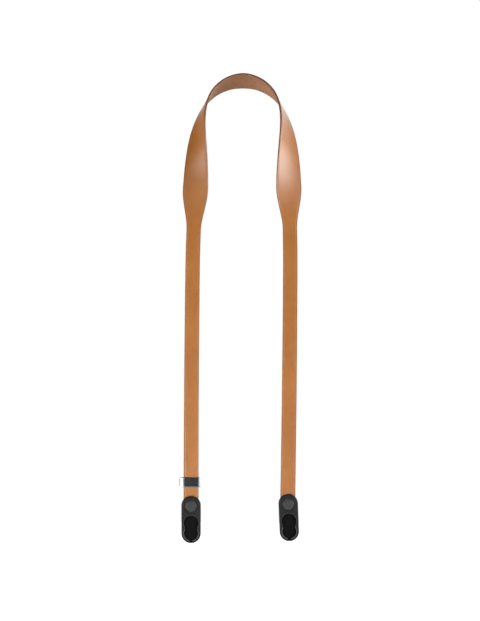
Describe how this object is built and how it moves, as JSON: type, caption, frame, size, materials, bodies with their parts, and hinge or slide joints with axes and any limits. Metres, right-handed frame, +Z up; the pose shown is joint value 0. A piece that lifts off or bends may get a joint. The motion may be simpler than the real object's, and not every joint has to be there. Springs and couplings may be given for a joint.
{
  "type": "camera neck strap",
  "caption": "Leather camera neck strap, narrow legs and a wider twisted shoulder part, with black quick-release housings and a metal keeper.",
  "frame": {"origin": "middle of the underside of the leather at the top of the arch, where the neck carries the strap", "axes": "+Z up along the hanging legs, +X to the right seen from the front, +Y to the back; the grain side of the legs faces -Y"},
  "size_m": [0.1272, 0.0512, 0.4997],
  "materials": {
    "leather": "smooth vegetable-tanned, semi-matt, dark painted edges",
    "black_plastic": "fine moulded texture, satin",
    "disc_plastic": "satin dark grey",
    "polished_steel": "polished, lightly worn"
  },
  "bodies": {
    "strap": {"strap": "leather", "keeper": "polished_steel", "left_housing": "black_plastic", "right_housing": "black_plastic", "left_disc": "disc_plastic", "right_disc": "disc_plastic"},
    "left_tongue": {"left_tongue": "black_plastic"},
    "right_tongue": {"right_tongue": "black_plastic"}
  },
  "joints": [
    {"name": "left_tongue_hinge", "type": "hinge", "parent": "strap", "child": "left_tongue", "pos_m": [-0.05107, -0.03289, -0.46074], "axis": [1, 0, 0.0087], "range_deg": [0, 6], "stiffness_Nm_per_rad": 0.25, "springref_deg": -5.73},
    {"name": "right_tongue_hinge", "type": "hinge", "parent": "strap", "child": "right_tongue", "pos_m": [0.05218, -0.03289, -0.45772], "axis": [0.9989, 0, 0.0471], "range_deg": [0, 6], "stiffness_Nm_per_rad": 0.25, "springref_deg": -5.73}
  ]
}
